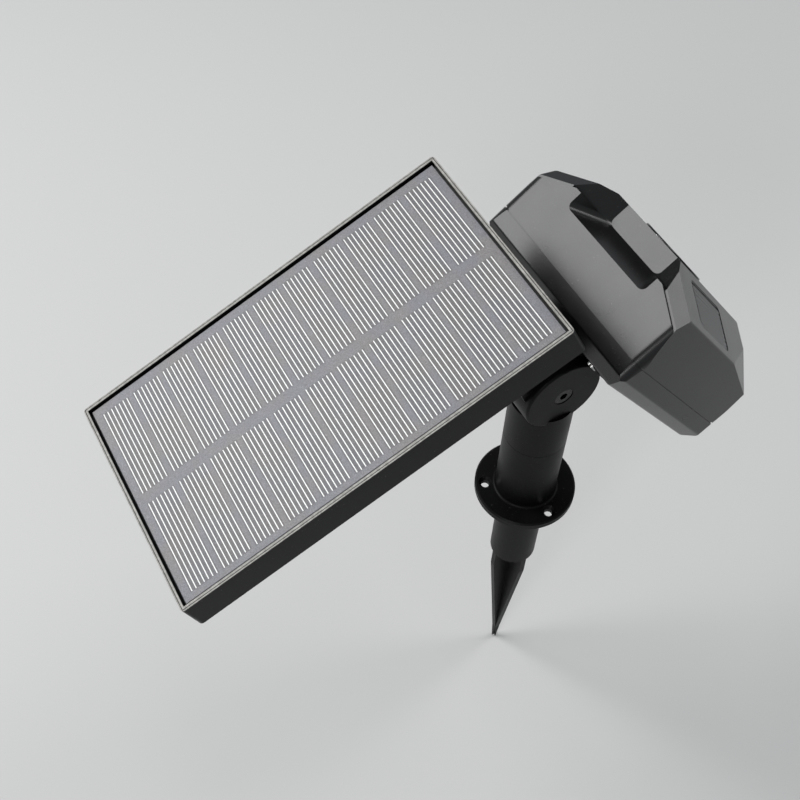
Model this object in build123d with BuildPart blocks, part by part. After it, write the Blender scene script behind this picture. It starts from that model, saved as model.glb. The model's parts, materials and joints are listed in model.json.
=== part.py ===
"""Solar-powered security camera on a ground spike.

Frame: +Z up along the post, origin at the centre of the flange's underside.
The camera looks towards -Y, the solar panel reaches back over +Y, and X runs
along the two tilt hinges. Millimetres throughout.
"""
import os
from math import atan2, cos, degrees, radians, sin

from build123d import *

os.makedirs("parts", exist_ok=True)

# ---------------------------------------------------------------- driving sizes
PANEL_LENGTH = 172.0          # rim to rim, down the slope
PANEL_WIDTH = 100.4
PANEL_HEIGHT = 15.0
PANEL_SLOPE = 23.7            # degrees down from level, at rest
PANEL_TOP_Y = 36.5            # the rim's upper end
PANEL_TOP_Z = 201.0
HEAD_WIDTH = 101.0
HEAD_HEIGHT = 101.0
HEAD_DEPTH = 53.0
HEAD_PITCH = 36.9             # degrees that the camera looks up, at rest
WALL = 2.4                    # moulded wall
FLANGE_RADIUS = 25.8
FLANGE_THICKNESS = 4.0
POST_RADIUS = 15.5
SPIKE_DEPTH = 178.0           # from the flange's underside to the tip
KNUCKLE_HEIGHT = 94.5         # head hinge above the flange's underside
RUNNING_FIT = 0.05            # radial clearance of pins and spigots
GAP = 0.3                     # between parts that only pass each other


def export(builder, name):
    """Label a finished sub-part and write its STEP file."""
    builder.part.label = name
    export_step(builder.part, f"parts/{name}.step")


# ---------------------------------------------------------------- frames
SLOPE = radians(PANEL_SLOPE)
PITCH = radians(HEAD_PITCH)
X_DIR = Vector(1, 0, 0)
PANEL_NORMAL = Vector(0, sin(SLOPE), cos(SLOPE))
PANEL_DOWN = Vector(0, cos(SLOPE), -sin(SLOPE))
panel_centre = Vector(0, PANEL_TOP_Y, PANEL_TOP_Z) + PANEL_DOWN * (PANEL_LENGTH / 2)
PANEL = Plane(origin=panel_centre, x_dir=X_DIR, z_dir=PANEL_NORMAL)

HEAD_FORWARD = Vector(0, -cos(PITCH), sin(PITCH))
HEAD_UP = Vector(0, sin(PITCH), cos(PITCH))
HEAD_STANDOFF = 24.0          # hinge axis to the head's back wall
knuckle = Vector(0, 0, KNUCKLE_HEIGHT)
HEAD = Plane(origin=knuckle + HEAD_FORWARD * HEAD_STANDOFF, x_dir=X_DIR, z_dir=HEAD_FORWARD)

PANEL_HINGE_DROP = 12.0       # hinge axis below the panel's bottom cover
PANEL_HINGE_INSET = 30.0      # hinge axis from the panel's upper end
panel_hinge = (
    panel_centre
    - PANEL_DOWN * (PANEL_LENGTH / 2 - PANEL_HINGE_INSET)
    - PANEL_NORMAL * (PANEL_HEIGHT + PANEL_HINGE_DROP)
)
arm_line = panel_hinge - knuckle
ARM_LENGTH = arm_line.length


def hinge_plane(centre, x, facing=1):
    """Plane across a hinge at distance x; it faces +X, or -X where facing is -1."""
    return Plane(origin=centre + X_DIR * x, x_dir=(0, 1, 0), z_dir=X_DIR * facing)


def head_level(height):
    """Plane across the head at a height: local x is X, local y points backwards."""
    return Plane(origin=HEAD.origin + HEAD_UP * height, x_dir=X_DIR, z_dir=HEAD_UP)


HEAD_SIDE = Plane(origin=HEAD.origin, x_dir=HEAD_FORWARD, z_dir=-X_DIR)


# ================================================================ base
SOCKET_RADIUS = 9.0
SOCKET_DEPTH = 19.0
SPIKE_NECK_RADIUS = 12.3
SEAT_DEPTH = 0.8              # shallow seat round the socket, for the spike's shoulder
SWIVEL_HEAD_BORE = 6.0
SWIVEL_SCREW_BORE = 2.7
POST_TOP = 50.0
SPIGOT_RADIUS = 11.0
SPIGOT_BOTTOM = 32.0
WEB_BOTTOM = 25.0
FLANGE_PCD = 41.0
FLANGE_HOLES = 3
FLANGE_HOLE_START = 63.0      # degrees from +X
FLANGE_HOLE_RADIUS = 2.1

with BuildPart() as base_post:
    Cylinder(FLANGE_RADIUS, FLANGE_THICKNESS, align=(Align.CENTER, Align.CENTER, Align.MIN))
    chamfer(base_post.edges().group_by(Axis.Z)[-1], 0.8)
    with BuildSketch(Plane.XY.offset(FLANGE_THICKNESS)):
        Circle(POST_RADIUS)
    extrude(amount=POST_TOP - FLANGE_THICKNESS)
    root = base_post.edges().filter_by(GeomType.CIRCLE).group_by(Axis.Z)[-2]
    fillet(root.filter_by(lambda edge: abs(edge.radius - POST_RADIUS) < 0.1), 1.4)
    with BuildSketch(Plane.XY):
        Circle(SPIKE_NECK_RADIUS + GAP)
    extrude(amount=SEAT_DEPTH, mode=Mode.SUBTRACT)
    with BuildSketch(Plane.XY):
        Circle(SOCKET_RADIUS + RUNNING_FIT)
    extrude(amount=SOCKET_DEPTH, mode=Mode.SUBTRACT)
    with BuildSketch(Plane.XY):
        Circle(SWIVEL_HEAD_BORE)
    extrude(amount=WEB_BOTTOM, mode=Mode.SUBTRACT)
    with BuildSketch(Plane.XY):
        Circle(SWIVEL_SCREW_BORE)
    extrude(amount=POST_TOP, mode=Mode.SUBTRACT)
    with BuildSketch(Plane.XY.offset(SPIGOT_BOTTOM - GAP)):
        Circle(SPIGOT_RADIUS + RUNNING_FIT)
    extrude(amount=POST_TOP, mode=Mode.SUBTRACT)
    with Locations(Plane.XY.offset(FLANGE_THICKNESS)):
        with PolarLocations(FLANGE_PCD / 2, FLANGE_HOLES, start_angle=FLANGE_HOLE_START):
            CounterSinkHole(FLANGE_HOLE_RADIUS, 3.4, depth=FLANGE_THICKNESS)
export(base_post, "base_post")

SPIKE_NECK = 62.0
FIN_THICKNESS = 3.2
FIN_REACH = 11.8

with BuildPart() as ground_spike:
    with BuildSketch(Plane.XY.offset(SEAT_DEPTH)):
        Circle(SPIKE_NECK_RADIUS)
    extrude(amount=-SPIKE_NECK - SEAT_DEPTH)
    chamfer(ground_spike.edges().group_by(Axis.Z)[0], 2.0)
    with BuildSketch(Plane.XY):
        Circle(SOCKET_RADIUS)
    extrude(amount=SOCKET_DEPTH - 2.0)
    chamfer(ground_spike.edges().group_by(Axis.Z)[-1], 1.0)
    for plane in (Plane.XZ, Plane.YZ):
        with BuildSketch(plane):
            with BuildLine():
                Polyline(
                    (-FIN_REACH, -SPIKE_NECK + 6),
                    (-FIN_REACH, -SPIKE_NECK - 12),
                    (0, -SPIKE_DEPTH),
                    (FIN_REACH, -SPIKE_NECK - 12),
                    (FIN_REACH, -SPIKE_NECK + 6),
                    close=True,
                )
            make_face()
        extrude(amount=FIN_THICKNESS / 2, both=True)
export(ground_spike, "ground_spike")


# ================================================================ carrier
EAR_RADIUS = 19.6
EAR_OUTER = 14.0              # outer face of an ear, from the middle
EAR_INNER = 8.3
LUG_RADIUS = 17.0
BOLT_RADIUS = 2.5
PIVOT_HEAD_RADIUS = 4.6
PIVOT_HEAD_DEPTH = 3.2
ARM_HALF = 7.0                # half the arm's thickness across its length
ARM_WIDTH = 22.0
TOP_LUG_RADIUS = 9.0
TOP_LUG_HALF = 6.8
STUB_TOP = KNUCKLE_HEIGHT - 15.5
arm_plane = Plane(origin=knuckle, x_dir=arm_line, z_dir=X_DIR)

with BuildPart() as carrier_arm:
    with BuildSketch(hinge_plane(knuckle, -EAR_OUTER)):
        Circle(EAR_RADIUS)
    extrude(amount=2 * EAR_OUTER)
    fillet(carrier_arm.edges().filter_by(GeomType.CIRCLE), 1.2)
    with BuildSketch(Plane.XY.offset(POST_TOP + 0.2)):
        Circle(POST_RADIUS)
    extrude(amount=STUB_TOP - POST_TOP - 0.2)
    with BuildSketch(arm_plane.offset(-ARM_WIDTH / 2)):
        with BuildLine():
            Polyline(
                (10, -14),
                (10, 11),
                (34, ARM_HALF),
                (ARM_LENGTH - 16, ARM_HALF),
                (ARM_LENGTH - 16, -ARM_HALF),
                (36, -ARM_HALF),
                close=True,
            )
        make_face()
    extrude(amount=ARM_WIDTH)
    with BuildSketch(arm_plane.offset(-TOP_LUG_HALF)):
        with Locations((ARM_LENGTH, 0)):
            Circle(TOP_LUG_RADIUS)
        with Locations((ARM_LENGTH - 11, 0)):
            Rectangle(22, 2 * ARM_HALF)
    extrude(amount=2 * TOP_LUG_HALF)
    with BuildSketch(hinge_plane(knuckle, -EAR_INNER)):
        Circle(LUG_RADIUS + 0.6)
        with Locations(Rotation(0, 0, degrees(atan2(HEAD_FORWARD.Z, HEAD_FORWARD.Y))) * Location((20, 0))):
            Rectangle(40, 2 * LUG_RADIUS + 1.2)
        with Locations((-24, -12)):
            Rectangle(48, 18)
    extrude(amount=2 * EAR_INNER, mode=Mode.SUBTRACT)
    with BuildSketch(Plane.XY.offset(SPIGOT_BOTTOM)):
        Circle(SPIGOT_RADIUS)
    extrude(amount=POST_TOP - SPIGOT_BOTTOM + 2)
    with BuildSketch(Plane.XY.offset(40)):
        Circle(SPIGOT_RADIUS + 1)
        Circle(SPIGOT_RADIUS - 1.0, mode=Mode.SUBTRACT)
    extrude(amount=2.4, mode=Mode.SUBTRACT)
    with BuildSketch(Plane.XY.offset(SPIGOT_BOTTOM)):
        Circle(1.95)
    extrude(amount=14, mode=Mode.SUBTRACT)
    with BuildSketch(hinge_plane(knuckle, -EAR_OUTER)):
        Circle(BOLT_RADIUS + RUNNING_FIT)
    extrude(amount=2 * EAR_OUTER, mode=Mode.SUBTRACT)
    with BuildSketch(hinge_plane(knuckle, -EAR_OUTER)):
        Circle(PIVOT_HEAD_RADIUS + 0.2)
    extrude(amount=PIVOT_HEAD_DEPTH, mode=Mode.SUBTRACT)
    with BuildSketch(hinge_plane(knuckle, EAR_OUTER, -1)):
        RegularPolygon(4.0 + 0.15, 6, major_radius=False)
    extrude(amount=4.0, mode=Mode.SUBTRACT)
    with BuildSketch(hinge_plane(panel_hinge, -TOP_LUG_HALF)):
        Circle(2.0 + RUNNING_FIT)
    extrude(amount=2 * TOP_LUG_HALF, mode=Mode.SUBTRACT)
export(carrier_arm, "carrier_arm")


def pan_screw(plane, shank_radius, length, head_radius, head_depth, socket):
    """A screw whose head rises from the plane and whose shank runs below it."""
    with BuildPart() as screw:
        with BuildSketch(plane):
            Circle(shank_radius)
        extrude(amount=-length)
        with BuildSketch(plane):
            Circle(head_radius)
        extrude(amount=head_depth)
        with BuildSketch(plane.offset(head_depth)):
            RegularPolygon(socket, 6)
        extrude(amount=-head_depth * 0.55, mode=Mode.SUBTRACT)
    return screw.part


def round_plate(plane, radius, thickness, hole=0.0):
    """A disc standing on a plane, with an optional hole."""
    with BuildPart() as plate:
        with BuildSketch(plane):
            Circle(radius)
            if hole:
                Circle(hole, mode=Mode.SUBTRACT)
        extrude(amount=thickness)
    return plate.part


swivel_seat = Plane(origin=(0, 0, WEB_BOTTOM - 1.2), x_dir=X_DIR, z_dir=(0, 0, -1))
swivel_screw_blank = pan_screw(swivel_seat, 1.95, 20.5, 3.6, 2.2, 1.5)
with BuildPart() as swivel_screw:
    add(swivel_screw_blank)
export(swivel_screw, "swivel_screw")

swivel_washer_blank = round_plate(Plane.XY.offset(WEB_BOTTOM - 1.2), 5.4, 1.0, 2.05)
with BuildPart() as swivel_washer:
    add(swivel_washer_blank)
export(swivel_washer, "swivel_washer")

with BuildPart() as swivel_o_ring:
    with BuildSketch(Plane.XY.offset(40.2)):
        Circle(SPIGOT_RADIUS - GAP)
        Circle(SPIGOT_RADIUS - 0.95, mode=Mode.SUBTRACT)
    extrude(amount=2.0)
export(swivel_o_ring, "swivel_o_ring")

pivot_seat = hinge_plane(knuckle, PIVOT_HEAD_DEPTH - EAR_OUTER, -1)
pivot_screw_blank = pan_screw(pivot_seat, BOLT_RADIUS, 23.6, PIVOT_HEAD_RADIUS, 2.9, 2.1)
with BuildPart() as head_pivot_screw:
    add(pivot_screw_blank)
export(head_pivot_screw, "head_pivot_screw")

with BuildPart() as head_pivot_nut:
    with BuildSketch(hinge_plane(knuckle, EAR_OUTER - 0.4, -1)):
        RegularPolygon(4.0, 6, major_radius=False)
        Circle(BOLT_RADIUS, mode=Mode.SUBTRACT)
    extrude(amount=3.5)
export(head_pivot_nut, "head_pivot_nut")

HEAD_LUG_HALF = 7.7
with BuildPart() as head_friction_washers:
    for side in (-1, 1):
        with BuildSketch(hinge_plane(knuckle, side * (HEAD_LUG_HALF + 0.3) - 0.2)):
            Circle(8.0)
            Circle(BOLT_RADIUS + RUNNING_FIT, mode=Mode.SUBTRACT)
        extrude(amount=0.4)
export(head_friction_washers, "head_friction_washers")


# ================================================================ head
# Section heights and depths: v runs forward from the back wall, h up from the middle.
PARTING = 15.0                # back shell to housing
SEAM_SIDE = 33.0              # housing to front bezel, at the side walls
SEAM_MIDDLE = 42.0            # and over the middle
SEAM_HALF = 30.0              # half the seam's straight middle stretch
FRONT_FLAT_HALF = 21.5        # half the flat middle of the front
FRONT_SIDE = 40.4             # where a wing's face meets the side wall
HALF_WIDTH = HEAD_WIDTH / 2
HALF_HEIGHT = HEAD_HEIGHT / 2
SIDE_AT_SEAM = 48.6
SIDE_AT_FRONT = 47.6
WING_ANGLE = degrees(atan2(HEAD_DEPTH - FRONT_SIDE, SIDE_AT_FRONT - FRONT_FLAT_HALF))
REAR_SLOPE = 6.5              # depth of the slope round the back wall
REAR_INSET = 5.5              # and how far it draws the back wall in
DRAFT = 0.4                   # the back shell draws in this much from the parting to its slope
SIDE_STRAIGHT = 18.0          # where the side walls begin to taper forwards
END_RADIUS = 5.0              # rounding of the long edges, seen from the front
BEYOND = 70.0                 # clear of the front


def side_profile(inset):
    """The head's outline seen from the side, open towards the front: x is v, y is h."""
    with BuildSketch(HEAD_SIDE) as sketch:
        with BuildLine():
            Polyline(
                (inset, 0),
                (inset, HALF_HEIGHT - REAR_INSET - inset * 0.4),
                (REAR_SLOPE + inset * 0.4, HALF_HEIGHT - DRAFT - inset),
                (PARTING, HALF_HEIGHT - inset),
                (BEYOND, HALF_HEIGHT - inset),
                (BEYOND, 0),
            )
            mirror(about=Plane.XZ)
        make_face()
        fillet(sketch.vertices().filter_by(lambda v: v.X < inset + 0.1), 3)
        fillet(sketch.vertices().filter_by(lambda v: abs(v.X - REAR_SLOPE - inset * 0.4) < 0.1), 2)
    return sketch.sketch


def plan_profile(inset, front):
    """The head's outline seen from above, closed by a front outline: x is X, y is -v."""
    with BuildSketch(head_level(-HALF_HEIGHT - 5)) as sketch:
        with BuildLine():
            Polyline(
                (0, -inset),
                (HALF_WIDTH - REAR_INSET - inset * 0.4, -inset),
                (HALF_WIDTH - DRAFT - inset, -REAR_SLOPE - inset * 0.4),
                (HALF_WIDTH - inset, -PARTING),
                (HALF_WIDTH - inset, -SIDE_STRAIGHT),
                (SIDE_AT_SEAM - inset, -SEAM_SIDE),
                *[(x, -v) for x, v in front],
            )
            mirror(about=Plane.YZ)
        make_face()
        fillet(sketch.vertices().filter_by(lambda v: abs(v.Y + inset) < 0.1), 3)
        fillet(sketch.vertices().filter_by(lambda v: abs(v.Y + REAR_SLOPE + inset * 0.4) < 0.1), 2)
        fillet(sketch.vertices().filter_by(lambda v: abs(v.Y + SIDE_STRAIGHT) < 0.1), 30)
    return sketch.sketch


def head_form(inset, front):
    """The head's rounded box, cut off by a front outline."""
    side = side_profile(inset)
    plan = plan_profile(inset, front)
    with BuildPart() as form:
        extrude(side, amount=HEAD_WIDTH, both=True)
        extrude(plan, amount=HEAD_HEIGHT + 10, mode=Mode.INTERSECT)
        with BuildSketch(HEAD.offset(-1)):
            RectangleRounded(HEAD_WIDTH - 2 * inset, HEAD_HEIGHT - 2 * inset, END_RADIUS - inset)
        extrude(amount=BEYOND + 2, mode=Mode.INTERSECT)
    return form.part


seam_outline = [(SEAM_HALF, SEAM_MIDDLE), (0, SEAM_MIDDLE)]
open_front = [(SIDE_AT_SEAM - WALL, BEYOND), (0, BEYOND)]
shell_form = head_form(0, seam_outline)
shell_space = head_form(WALL, open_front)

# The notch in the top, under which the camera's brow lies.
BROW_HALF = 17.0              # half the brow's level floor
BROW_HEIGHT = 33.5
NOTCH_BACK = 34.0             # v of the notch's rear edge, at the top
NOTCH_HALF = 27.0             # half its width at the top of the housing
NOTCH_CORNER = 3.5            # rounding between the notch's back wall and its sides
SADDLE_HALF = 32.0            # and at the top of the bezel
BEZEL_HALF_HEIGHT = 49.5


def notch_form(half_top, grow):
    """The notch as a solid: a V-sided channel with a sloping back wall."""
    top = HALF_HEIGHT + 3
    with BuildPart() as notch:
        with BuildSketch(HEAD_SIDE):
            with BuildLine():
                Polyline(
                    (NOTCH_BACK - grow - 1.4, top),
                    (SEAM_MIDDLE - grow, BROW_HEIGHT - grow),
                    (BEYOND, BROW_HEIGHT - grow),
                    (BEYOND, top),
                    close=True,
                )
            make_face()
        extrude(amount=HEAD_WIDTH, both=True)
        with BuildSketch(HEAD):
            with BuildLine():
                Polyline(
                    (-BROW_HALF - grow, BROW_HEIGHT - grow),
                    (-half_top - grow * 1.3, top),
                    (half_top + grow * 1.3, top),
                    (BROW_HALF + grow, BROW_HEIGHT - grow),
                    close=True,
                )
            make_face()
        extrude(amount=BEYOND, mode=Mode.INTERSECT)
        rear = notch.edges().filter_by(lambda edge: HEAD.to_local_coords(edge.center()).Z < SEAM_MIDDLE)
        fillet(rear.filter_by(lambda edge: abs(edge.center().X) > BROW_HALF), NOTCH_CORNER + grow)
    return notch.part


housing_notch = notch_form(NOTCH_HALF + 1.5, 0)
housing_notch_grown = notch_form(NOTCH_HALF + 1.5, WALL)
bezel_notch = notch_form(SADDLE_HALF + 4.5, 0)
bezel_notch_grown = notch_form(SADDLE_HALF + 4.5, WALL)

CORNER_X = 41.5               # clamping screws
CORNER_H = 30.0
CLAMP_SEAT = 11.0             # v of their heads' seats
corner_spots = [(x, h) for x in (-CORNER_X, CORNER_X) for h in (-CORNER_H, CORNER_H)]
BRACKET_HOLE_X = 18.0         # bracket screws
BRACKET_HOLE_H = 13.0
BRACKET_PAD = (44.0, 36.0)    # thicker wall behind the bracket
BOSS_RADIUS = 3.6             # of the clamping screws, in housing and bezel
BOSS_BACK_RADIUS = 4.4        # and in the back shell, round their counterbores
COUNTERBORE_RADIUS = 3.3
CLEARANCE_RADIUS = 1.6        # of M2.5 screws
BUTTON_X = -20.0
BUTTON_V = 27.0
BUTTON_RADIUS = 4.5
PORT_X = 16.0
SPEAKER_SPOT = (26.0, 26.0)
GLAND_SPOT = (-29.0, 26.0)
GLAND_RADIUS = 2.6
bottom_outside = Plane(
    origin=HEAD.origin - HEAD_UP * HALF_HEIGHT, x_dir=X_DIR, z_dir=-HEAD_UP
)                             # local y points forward

with BuildPart() as housing:
    add(shell_form)
    add(shell_space, mode=Mode.SUBTRACT)
    with BuildSketch(HEAD.offset(PARTING)):
        Rectangle(2 * HEAD_WIDTH, 2 * HEAD_HEIGHT)
    extrude(amount=-BEYOND, mode=Mode.SUBTRACT)
    with BuildSketch(HEAD.offset(PARTING)):
        with Locations(*corner_spots):
            Circle(BOSS_RADIUS)
        with Locations(*[(x * 1.08, h * 1.08) for x, h in corner_spots]):
            Rectangle(5, 5)
    extrude(amount=SEAM_SIDE + 3 - PARTING)
    add(housing_notch_grown)
    add(shell_form, mode=Mode.INTERSECT)
    add(housing_notch, mode=Mode.SUBTRACT)
    with BuildSketch(bottom_outside):
        with Locations((BUTTON_X, BUTTON_V)):
            Circle(BUTTON_RADIUS + RUNNING_FIT)
        with Locations((PORT_X, BUTTON_V)):
            RectangleRounded(13, 7, 1.5)
    extrude(amount=-6, mode=Mode.SUBTRACT)
    with BuildSketch(HEAD.offset(PARTING)):
        with Locations(*corner_spots):
            Circle(CLEARANCE_RADIUS)
    extrude(amount=BEYOND, mode=Mode.SUBTRACT)
export(housing, "housing")

GASKET = 0.7
SHADOW_GAP = (0.8, 0.6)       # width and depth of the groove round the parting
GASKET_OUTSIDE = 1.1          # from the shell's outside to the ring
GASKET_INSIDE = 2.2
with BuildSketch(Plane.XY) as gasket_sketch:
    for inset, mode in ((GASKET_OUTSIDE, Mode.ADD), (GASKET_INSIDE, Mode.SUBTRACT)):
        RectangleRounded(HEAD_WIDTH - 2 * inset, HEAD_HEIGHT - 2 * inset, END_RADIUS - inset, mode=mode)
gasket_ring = gasket_sketch.sketch

with BuildPart() as back_shell:
    add(shell_form)
    add(shell_space, mode=Mode.SUBTRACT)
    with BuildSketch(HEAD.offset(WALL - 0.5)):
        with Locations(*corner_spots):
            Circle(BOSS_BACK_RADIUS)
    extrude(amount=PARTING - WALL + 0.5)
    with BuildSketch(HEAD.offset(WALL - 0.5)):
        Rectangle(*BRACKET_PAD)
    extrude(amount=2.6)
    add(shell_form, mode=Mode.INTERSECT)
    with BuildSketch(HEAD.offset(PARTING)):
        Rectangle(2 * HEAD_WIDTH, 2 * HEAD_HEIGHT)
    extrude(amount=BEYOND, mode=Mode.SUBTRACT)
    with BuildSketch(HEAD.offset(-1)):
        with Locations(*corner_spots):
            Circle(COUNTERBORE_RADIUS)
    extrude(amount=CLAMP_SEAT + 1, mode=Mode.SUBTRACT)
    with BuildSketch(HEAD):
        with Locations(*corner_spots):
            Circle(CLEARANCE_RADIUS)
    extrude(amount=BEYOND, mode=Mode.SUBTRACT)
    with BuildSketch(HEAD):
        with GridLocations(2 * BRACKET_HOLE_X, 2 * BRACKET_HOLE_H, 2, 2):
            Circle(1.25)
    extrude(amount=3.6, mode=Mode.SUBTRACT)
    with BuildSketch(HEAD):
        with Locations(SPEAKER_SPOT):
            Circle(0.9)
            with PolarLocations(4.5, 6):
                Circle(0.9)
        with Locations(GLAND_SPOT):
            Circle(GLAND_RADIUS)
    extrude(amount=4, mode=Mode.SUBTRACT)
    with BuildSketch(HEAD.offset(PARTING)):
        add(gasket_ring)
    extrude(amount=-GASKET, mode=Mode.SUBTRACT)
    with BuildSketch(HEAD.offset(PARTING)):
        Rectangle(2 * HEAD_WIDTH, 2 * HEAD_HEIGHT)
        RectangleRounded(
            HEAD_WIDTH - 2 * SHADOW_GAP[1],
            HEAD_HEIGHT - 2 * SHADOW_GAP[1],
            END_RADIUS - SHADOW_GAP[1],
            mode=Mode.SUBTRACT,
        )
    extrude(amount=-SHADOW_GAP[0], mode=Mode.SUBTRACT)
export(back_shell, "back_shell")

with BuildPart() as head_gasket:
    with BuildSketch(HEAD.offset(PARTING)):
        add(gasket_ring)
    extrude(amount=-GASKET)
export(head_gasket, "head_gasket")

# ---------------------------------------------------------------- front bezel
FRONT_WALL = 3.4
WING_MIDDLE_X = (FRONT_FLAT_HALF + SIDE_AT_FRONT) / 2
WING_MIDDLE_V = (HEAD_DEPTH + FRONT_SIDE) / 2
CAMERA_HEIGHT = 8.0
MOTION_HEIGHT = -24.0
STATUS_HEIGHT = 27.5
STATUS_RADIUS = 1.2
MICROPHONE_HEIGHT = -38.0
LIGHT_HEIGHT = 8.0            # the windows stand above the corner that is cut off
LIGHT_WINDOW = (18.0, 36.0)
LIGHT_COVER = (21.0, 40.0)
RIM_CHAMFER = 5.0
CAMERA_GLASS_RADIUS = 14.5
MOTION_RADIUS = 9.0


def wing(side, depth):
    """Plane on a wing's sloping face, at its light: local y is up, depth is measured outwards."""
    normal = X_DIR * (side * sin(radians(WING_ANGLE))) + HEAD_FORWARD * cos(radians(WING_ANGLE))
    middle = HEAD.origin + X_DIR * (side * WING_MIDDLE_X) + HEAD_FORWARD * WING_MIDDLE_V
    middle += HEAD_UP * LIGHT_HEIGHT
    return Plane(origin=middle + normal * depth, x_dir=HEAD_UP.cross(normal), z_dir=normal)


front_outline = [
    (SIDE_AT_FRONT, FRONT_SIDE),
    (FRONT_FLAT_HALF, HEAD_DEPTH),
    (-FRONT_FLAT_HALF, HEAD_DEPTH),
    (-SIDE_AT_FRONT, FRONT_SIDE),
]
seam_line = [
    (-SIDE_AT_SEAM, SEAM_SIDE),
    (-SEAM_HALF, SEAM_MIDDLE),
    (SEAM_HALF, SEAM_MIDDLE),
    (SIDE_AT_SEAM, SEAM_SIDE),
]
inner_front = [
    (SIDE_AT_FRONT - WALL, FRONT_SIDE - FRONT_WALL),
    (FRONT_FLAT_HALF - 0.8, HEAD_DEPTH - FRONT_WALL),
    (0.8 - FRONT_FLAT_HALF, HEAD_DEPTH - FRONT_WALL),
    (WALL - SIDE_AT_FRONT, FRONT_SIDE - FRONT_WALL),
    (WALL - SIDE_AT_FRONT, 20),
    (SIDE_AT_FRONT - WALL, 20),
]
CAVITY_HALF_HEIGHT = 43.8


def corner_cut(side, depth):
    """Plane that cuts off a wing's lower outer corner, moved outwards by depth."""
    cut_from = Vector(side * SIDE_AT_FRONT, FRONT_SIDE + 1.2, -10)
    down_the_side = Vector(0, -7.1, -39.5)
    under_the_wing = Vector(side * -20.0, 9.7, -39.5)
    across = down_the_side.cross(under_the_wing) * side
    normal = (X_DIR * across.X + HEAD_FORWARD * across.Y + HEAD_UP * across.Z).normalized()
    corner = HEAD.origin + X_DIR * cut_from.X + HEAD_FORWARD * cut_from.Y + HEAD_UP * cut_from.Z
    return Plane(origin=corner + normal * depth, x_dir=X_DIR.cross(normal), z_dir=normal)


with BuildPart() as bezel_space:
    with BuildSketch(head_level(-CAVITY_HALF_HEIGHT)):
        with BuildLine():
            Polyline(*[(x, -v) for x, v in inner_front], close=True)
        make_face()
    extrude(amount=2 * CAVITY_HALF_HEIGHT)
    add(bezel_notch_grown, mode=Mode.SUBTRACT)
    with BuildSketch(HEAD.offset(SEAM_SIDE)):
        with Locations(*corner_spots):
            Circle(BOSS_RADIUS)
    extrude(amount=10, mode=Mode.SUBTRACT)
    for side in (-1, 1):
        with BuildSketch(corner_cut(side, -FRONT_WALL)):
            Rectangle(HEAD_WIDTH, HEAD_WIDTH)
        extrude(amount=HEAD_DEPTH, mode=Mode.SUBTRACT)

with BuildPart() as front_bezel:
    with BuildSketch(head_level(-BEZEL_HALF_HEIGHT)):
        with BuildLine():
            Polyline(*[(x, -v) for x, v in seam_line + front_outline], close=True)
        make_face()
    extrude(amount=2 * BEZEL_HALF_HEIGHT)
    rims = front_bezel.faces().filter_by(lambda face: abs(face.normal_at().dot(HEAD_UP)) > 0.99)
    front_rims = rims.edges().filter_by(lambda edge: HEAD.to_local_coords(edge.center()).Z > 44)
    chamfer(front_rims, RIM_CHAMFER)
    uprights = front_bezel.edges().filter_by(Axis(HEAD.origin, HEAD_UP))
    outer = uprights.filter_by(lambda edge: abs(edge.center().X) > SIDE_AT_FRONT - 0.1)
    fillet(outer.filter_by(lambda edge: HEAD.to_local_coords(edge.center()).Z > 38), 1.5)
    for side in (-1, 1):
        with BuildSketch(corner_cut(side, 0)):
            Rectangle(HEAD_WIDTH, HEAD_WIDTH)
        extrude(amount=HEAD_DEPTH, mode=Mode.SUBTRACT)
    add(bezel_space.part, mode=Mode.SUBTRACT)
    add(bezel_notch, mode=Mode.SUBTRACT)
    for side in (-1, 1):
        with BuildSketch(wing(side, 0)):
            RectangleRounded(*LIGHT_COVER, 3)
        extrude(amount=-2.0, mode=Mode.SUBTRACT)
        with BuildSketch(wing(side, 0)):
            RectangleRounded(*LIGHT_WINDOW, 2)
        extrude(amount=-12, mode=Mode.SUBTRACT)
    with BuildSketch(HEAD.offset(HEAD_DEPTH)):
        with Locations((0, CAMERA_HEIGHT)):
            Circle(CAMERA_GLASS_RADIUS + 0.1)
    extrude(amount=-1.7, mode=Mode.SUBTRACT)
    with BuildSketch(HEAD.offset(HEAD_DEPTH)):
        with Locations((0, CAMERA_HEIGHT)):
            Circle(CAMERA_GLASS_RADIUS - 1.8)
        with Locations((0, MOTION_HEIGHT)):
            Circle(MOTION_RADIUS + 0.1)
        with Locations((0, STATUS_HEIGHT), (0, MICROPHONE_HEIGHT)):
            Circle(STATUS_RADIUS)
    extrude(amount=-8, mode=Mode.SUBTRACT)
    with BuildSketch(HEAD.offset(SEAM_SIDE)):
        with Locations(*corner_spots):
            Circle(1.3)
    extrude(amount=7.2, mode=Mode.SUBTRACT)
export(front_bezel, "front_bezel")

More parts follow.
